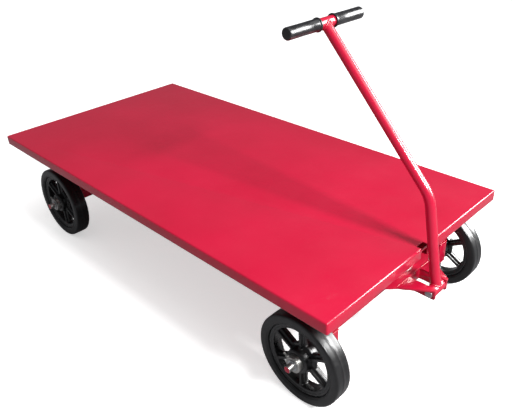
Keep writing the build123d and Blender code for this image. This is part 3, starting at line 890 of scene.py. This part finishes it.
def spring_pins(node, centre, name, body):
    """A slotted pin through each end of the axle."""
    low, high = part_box(node)
    pins = []
    for side in (1, -1):
        spot = Vector((centre.x, side * (high.y - PIN), centre.z))
        bpy.ops.mesh.primitive_cylinder_add(
            vertices=32, radius=PIN, depth=high.z - low.z, location=spot
        )
        pin = bpy.context.object
        bpy.ops.object.transform_apply(location=True, rotation=True, scale=True)
        slot = block(
            spot + Vector((-0.4 * MM, -0.5 * MM, -0.02)),
            spot + Vector((0.4 * MM, 1.3 * PIN, 0.02)),
        )
        apply_modifier(pin, "BOOLEAN", object=slot, operation="DIFFERENCE", solver="EXACT")
        bpy.data.objects.remove(slot)
        round_edges(pin, 0.4 * MM, segments=2, angle=50)
        pins.append(pin)
    settle(join(pins), name, body, zinc_plate, (node,), smooth=50)


spring_pins("front_axle_pins", front_axle_centre, "front_spring_pins", "fore_carriage")
spring_pins("rear_axle_pins", rear_axle_centre, "rear_spring_pins", "deck")

# %% [markdown]
# ## Welds
# A weld is a ripple of metal laid along a joint. It follows a line, so it is drawn as a curve with
# a round section and then turned into a mesh. The radius may change from point to point along a
# curve, which is all a weld needs to get its ripples.

# %% Line helper
def drawn_along(points, radius, closed=False, swell=None, sides=3):
    """A round section, drawn along points; swell gives each point's share of the radius."""
    curve = bpy.data.curves.new("drawn", "CURVE")
    curve.dimensions = "3D"
    curve.bevel_depth = radius
    curve.bevel_resolution = sides
    curve.use_fill_caps = not closed
    line = curve.splines.new("POLY")
    line.points.add(len(points) - 1)
    for index, point in enumerate(points):
        line.points[index].co = (*point, 1.0)
        line.points[index].radius = swell[index] if swell else 1.0
    line.use_cyclic_u = closed
    obj = bpy.data.objects.new("drawn", curve)
    bpy.context.scene.collection.objects.link(obj)
    activate(obj)
    bpy.ops.object.convert(target="MESH")
    obj = bpy.context.object
    face_outwards(obj)
    return obj


def weld(path, radius=2.2 * MM, closed=False, ripple=2.6 * MM):
    """A weld bead along a path, with one ripple every few millimetres."""
    ends = list(zip(path, path[1:] + (path[:1] if closed else [])))
    if not closed:
        ends = ends[: len(path) - 1]
    points, swell, travelled = [], [], 0.0
    for start, stop in ends:
        length = (stop - start).length
        count = max(2, int(length / (ripple / 4)))
        for step in range(count):
            points.append(start.lerp(stop, step / count))
            swell.append(1.0 + 0.13 * sin(2 * pi * (travelled + length * step / count) / ripple))
        travelled += length
    if not closed:
        points.append(path[-1])
        swell.append(0.8)
        swell[0] = 0.8
    return drawn_along(points, radius, closed, swell, sides=2)


# %% [markdown]
# ## Drawbar
# The drawbar is a steel tube with one wide bend near its foot. A curve could make it, but a tube is
# bent by swinging it round a former, and Spin does exactly that: a circle is extruded up the lower
# run, spun round the bend's centre, and extruded again to the crossbar.

# %% Drawbar tube
pivot = sum(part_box("pivot_sleeve"), Vector()) / 2
bar = sum(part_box("handle_crossbar"), Vector()) / 2
elbow = pivot + Vector((-43.0 * MM, 0, 247.5 * MM))
TUBE = 13.35 * MM
TUBE_WALL = 2.9 * MM
BEND_RADIUS = 90.0 * MM
lower_run = (elbow - pivot).normalized()
upper_run = (bar - elbow).normalized()
turn = acos(lower_run.dot(upper_run))
tangent = BEND_RADIUS * tan(turn / 2)
bend_start = elbow - lower_run * tangent
bend_stop = elbow + upper_run * tangent
inward = (upper_run - lower_run).normalized()
bend_centre = elbow + inward * (BEND_RADIUS / cos(turn / 2))
foot = pivot + lower_run * 8.0 * MM
bpy.ops.mesh.primitive_circle_add(
    vertices=48,
    radius=TUBE,
    location=foot,
    rotation=(0, atan2(lower_run.x, lower_run.z), 0),
)
tube = bpy.context.object
bpy.ops.object.transform_apply(location=True, rotation=True, scale=True)
bpy.ops.object.mode_set(mode="EDIT")
bpy.ops.mesh.select_all(action="SELECT")
bpy.ops.mesh.extrude_region_move(TRANSFORM_OT_translate={"value": bend_start - foot})
bpy.ops.mesh.spin(steps=20, angle=turn, center=bend_centre, axis=(0, 1, 0))
shape = bmesh.from_edit_mesh(tube.data)
loop = [vertex.co.copy() for vertex in shape.verts if vertex.select]
print("bend ends", (sum(loop, Vector()) / len(loop) - bend_stop).length / MM, "mm from its place")
bar_entry = bar - upper_run * 6.0 * MM
bpy.ops.mesh.extrude_region_move(TRANSFORM_OT_translate={"value": bar_entry - bend_stop})
leave_edit()
face_outwards(tube)
apply_modifier(tube, "SOLIDIFY", thickness=TUBE_WALL, offset=-1.0)
settle(tube, "drawbar_tube", "handle", red_enamel, ("handle_tube",), smooth=50)

# %% Sleeve and crossbar
sleeve_low, sleeve_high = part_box("pivot_sleeve")
SLEEVE = (sleeve_high.z - sleeve_low.z) / 2
BOLT = 6.3 * MM
edge = 0.8 * MM
sleeve_outline = [
    (BOLT + 0.1 * MM, sleeve_low.y),
    (SLEEVE - edge, sleeve_low.y),
    (SLEEVE, sleeve_low.y + edge),
    (SLEEVE, sleeve_high.y - edge),
    (SLEEVE - edge, sleeve_high.y),
    (BOLT + 0.1 * MM, sleeve_high.y),
]
foot_sleeve = lathe(sleeve_outline, (pivot.x, 0, pivot.z), steps=64)
round_edges(foot_sleeve, 0.3 * MM, segments=2, angle=30)
settle(foot_sleeve, "drawbar_sleeve", "handle", red_enamel, ("pivot_sleeve",))

bar_low, bar_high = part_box("handle_crossbar")
BAR = (bar_high.z - bar_low.z) / 2
bar_outline = [
    (BAR - TUBE_WALL, bar_low.y),
    (BAR, bar_low.y),
    (BAR, bar_high.y),
    (BAR - TUBE_WALL, bar_high.y),
]
crossbar = lathe(bar_outline, (bar.x, 0, bar.z), steps=64)
round_edges(crossbar, 0.4 * MM, segments=2, angle=30)
settle(crossbar, "drawbar_crossbar", "handle", red_enamel, ("handle_crossbar",))

# %% [markdown]
# ### Weld beads on the drawbar
# Where one round tube meets another the joint is a saddle. Its line follows from two radii: for
# each angle round the drawbar, the point moves along the tube until it lies on the other tube.

# %% Saddle welds
def saddle(centre, along, tube_radius, other_radius, count=72):
    """The line on which a tube along a direction meets a tube that lies along Y."""
    across_way = along.cross(Vector((0, 1, 0))).normalized()
    line = []
    for step in range(count):
        a = 2 * pi * step / count
        reach = sqrt(max(other_radius ** 2 - (tube_radius * cos(a)) ** 2, 0.0))
        line.append(
            centre
            + along * (reach + 0.5 * MM)
            + across_way * (tube_radius + 0.2 * MM) * cos(a)
            + Vector((0, 1, 0)) * (tube_radius + 0.2 * MM) * sin(a)
        )
    return line


foot_weld = weld(saddle(pivot, lower_run, TUBE, SLEEVE), 2.0 * MM, closed=True)
bar_weld = weld(saddle(bar, -upper_run, TUBE, BAR), 2.6 * MM, closed=True)
drawbar_welds = join([foot_weld, bar_weld])
settle(drawbar_welds, "drawbar_welds", "handle", weld_paint, smooth=70)

# %% [markdown]
# ## Grips
# Each grip is a vinyl sleeve pushed over the crossbar, with a rolled rim at its inner end, a fine
# rib behind the rim and a closed, rounded outer end. Its section is an outline with two small arcs.

# %% Grips
GRIP = 15.5 * MM
GRIP_RIM = 18.0 * MM
for side, node in ((1, "left_grip"), (-1, "right_grip")):
    low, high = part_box(node)
    inner_end = min(abs(low.y), abs(high.y))
    outer_end = max(abs(low.y), abs(high.y))
    wall_end = outer_end - 3.0 * MM
    round_end = 4.5 * MM
    outline = [(BAR + 0.05 * MM, inner_end), (GRIP_RIM - 1.6 * MM, inner_end)]
    outline += arc((GRIP_RIM - 1.5 * MM, inner_end + 1.5 * MM), 1.5 * MM, -90, 0, 4)
    outline += arc((GRIP_RIM - 1.5 * MM, inner_end + 2.8 * MM), 1.5 * MM, 0, 70, 4)
    outline += [
        (GRIP + 0.5 * MM, inner_end + 4.8 * MM),
        (GRIP, inner_end + 6.2 * MM),
        (GRIP, inner_end + 8.0 * MM),
        (GRIP + 0.6 * MM, inner_end + 8.6 * MM),
        (GRIP + 0.6 * MM, inner_end + 9.8 * MM),
        (GRIP, inner_end + 10.4 * MM),
        (GRIP - 0.25 * MM, (inner_end + outer_end) / 2),
        (GRIP, outer_end - round_end),
    ]
    outline += arc((GRIP - round_end, outer_end - round_end), round_end, 0, 90, 6)[1:]
    outline += [(0.0, outer_end), (0.0, wall_end), (BAR + 0.05 * MM, wall_end)]
    outline = [(radius, side * along) for radius, along in outline]
    grip = lathe(outline, (bar.x, 0, bar.z), steps=72)
    settle(grip, node + "_vinyl", "handle", grip_vinyl, (node,), smooth=45)

# %% [markdown]
# ## Pivot bolt and nut
# A hexagon head is a six-sided prism whose corners are turned off at an angle. Both facts are
# modelled as they happen: a six-sided cylinder is cut by the common volume with a turned blank,
# and the thread is a fine zigzag at the end of the shank.

# %% Hexagon parts
def hexagon(centre, radius, start, stop):
    """A hexagon prism along Y with its corners turned off at both ends."""
    bpy.ops.mesh.primitive_cylinder_add(
        vertices=6,
        radius=radius,
        depth=stop - start,
        location=(centre[0], (start + stop) / 2, centre[1]),
        rotation=(pi / 2, 0, 0),
    )
    prism = bpy.context.object
    bpy.ops.object.transform_apply(location=True, rotation=True, scale=True)
    shy = 0.85 * radius
    full = 1.02 * radius
    turned_off = 0.22 * (full - shy) / (0.17 * radius) * radius * 0.5
    blank_outline = [
        (0.0, start),
        (shy, start),
        (full, start + turned_off),
        (full, stop - turned_off),
        (shy, stop),
        (0.0, stop),
    ]
    blank = lathe(blank_outline, (centre[0], 0, centre[1]), steps=72, closed=False)
    apply_modifier(prism, "BOOLEAN", object=blank, operation="INTERSECT", solver="EXACT")
    bpy.data.objects.remove(blank)
    round_edges(prism, 0.3 * MM, segments=2, angle=25)
    return prism


bolt_low, bolt_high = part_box("pivot_bolt")
nut_low, nut_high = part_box("pivot_nut")
pivot_line = (pivot.x, pivot.z)
HEX = 10.6 * MM
plate_outside = nut_low.y
head = hexagon(pivot_line, HEX, bolt_low.y, -plate_outside)
thread_start = plate_outside - 4.0 * MM
PITCH = 1.5 * MM
shank_end = -plate_outside - 1.0 * MM
shank_outline = [(0.0, shank_end), (BOLT, shank_end), (BOLT, thread_start)]
turns = int((bolt_high.y - 1.0 * MM - thread_start) / PITCH)
for number in range(turns):
    shank_outline.append((BOLT - 0.9 * MM, thread_start + (number + 0.5) * PITCH))
    shank_outline.append((BOLT, thread_start + (number + 1) * PITCH))
shank_outline += [(BOLT - 1.2 * MM, bolt_high.y), (0.0, bolt_high.y)]
shank = lathe(shank_outline, (pivot.x, 0, pivot.z), steps=48, closed=False)
pivot_bolt = join([head, shank])
settle(pivot_bolt, "pivot_bolt_zinc", "fore_carriage", zinc_plate, ("pivot_bolt",), smooth=40)
pivot_nut = hexagon(pivot_line, HEX, nut_low.y, nut_high.y)
settle(pivot_nut, "pivot_nut_zinc", "fore_carriage", zinc_plate, ("pivot_nut",), smooth=40)

# %% [markdown]
# ## Small fittings
# The kingpin, its nut and the turntable bolts are seen only from below, so softened copies are
# enough. A grease nipple is a tiny turned ball on a hexagon; a softened copy keeps both.

# %% Kingpin, bolts and nipples
SMALL = (
    ("kingpin", "deck", "zinc", zinc_plate),
    ("kingpin_nut", "deck", "zinc", zinc_plate),
    ("turntable_bolts", "deck", "zinc", zinc_plate),
)
for node, body, slot, finish in SMALL:
    settle(softened(node, 0.5 * MM), node + "_zinc", body, finish, (node,), smooth=40)
for wheel in WHEELS:
    nipple = softened(f"{wheel}_grease_fitting", 0.25 * MM)
    settle(
        nipple,
        f"{wheel}_grease_nipple",
        f"{wheel}_wheel",
        bright_steel,
        (f"{wheel}_grease_fitting",),
        smooth=40,
    )

# %% Races, balls and rollers keep their solids
for node in ("lower_race", "upper_race", "turntable_balls", *(f"{wheel}_bearing" for wheel in WHEELS)):
    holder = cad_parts[node]
    for slot in holder.material_slots:
        slot.material = bright_steel
print("races, balls and rollers finished in bright steel")

# %% [markdown]
# ## Welds on the frame
# Legs, beams, bolsters and the tongue are welded where they meet. Each joint is a straight line
# between two members, so each bead is one short path. The beads ride on the body they hold.

# %% Frame welds
def line_weld(start, stop, radius=2.2 * MM):
    return weld([Vector(start), Vector(stop)], radius)


def joint_welds(x_low, x_high, y_values, z, radius=2.2 * MM):
    """Beads along X at several Y places, all at one height."""
    return [line_weld((x_low, y, z), (x_high, y, z), radius) for y in y_values]


leg_low, leg_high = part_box("front_left_leg")
front_beads = joint_welds(
    leg_low.x + 4 * MM, leg_high.x - 4 * MM, (leg_high.y, -leg_high.y), leg_high.z
)
for side in (1, -1):
    for x in (leg_low.x, leg_high.x):
        front_beads.append(
            line_weld((x, side * leg_low.y, leg_high.z), (x, side * (leg_high.y - 4 * MM), leg_high.z))
        )
    ring = [
        front_axle_centre + Vector((AXLE * cos(turn), side * leg_low.y, AXLE * sin(turn)))
        for turn in (2 * pi * step / 24 for step in range(24))
    ]
    front_beads.append(weld(ring, 2.0 * MM, closed=True))

side_low, side_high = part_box("tongue_left_side")
gusset_low, gusset_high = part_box("tongue_left_gusset")
spreader_low, spreader_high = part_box("tongue_spreader")
for side in (1, -1):
    front_beads.append(
        line_weld(
            (gusset_low.x + 4 * MM, side * side_high.y, side_high.z),
            (gusset_high.x - 6 * MM, side * side_high.y, side_high.z),
            1.9 * MM,
        )
    )
    front_beads.append(
        line_weld(
            (side_low.x, side * side_high.y, side_low.z + 3 * MM),
            (side_low.x, side * side_high.y, side_high.z - 3 * MM),
            1.9 * MM,
        )
    )
    front_beads.append(
        line_weld(
            (spreader_high.x, side * spreader_high.y, spreader_low.z + 2 * MM),
            (spreader_high.x, side * spreader_high.y, spreader_high.z - 2 * MM),
            1.7 * MM,
        )
    )
    front_beads.append(
        line_weld(
            (gusset_low.x, side * 30 * MM, gusset_high.z),
            (gusset_low.x, side * 80 * MM, gusset_high.z),
            1.6 * MM,
        )
    )
front_welds = join(front_beads)
settle(front_welds, "fore_carriage_welds", "fore_carriage", weld_paint, smooth=70)

leg_low, leg_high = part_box("rear_left_leg")
rear_beads = []
for z in (leg_low.z, leg_high.z):
    for side in (1, -1):
        corners = [
            Vector((leg_low.x, side * leg_low.y, z)),
            Vector((leg_high.x, side * leg_low.y, z)),
            Vector((leg_high.x, side * leg_high.y, z)),
            Vector((leg_low.x, side * leg_high.y, z)),
        ]
        rear_beads.append(weld(corners, 2.0 * MM, closed=True))
bolster_low, bolster_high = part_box("rear_bolster")
for y in (137.5, 162.5):
    for side in (1, -1):
        place = side * y * MM
        rear_beads += joint_welds(
            bolster_low.x + 6 * MM, bolster_high.x - 6 * MM, (place,), bolster_high.z
        )
rear_welds = join(rear_beads)
settle(rear_welds, "rear_frame_welds", "deck", weld_paint, smooth=70)

# %% [markdown]
# ## Finishing

# %% Finish
print("the truck is dressed")
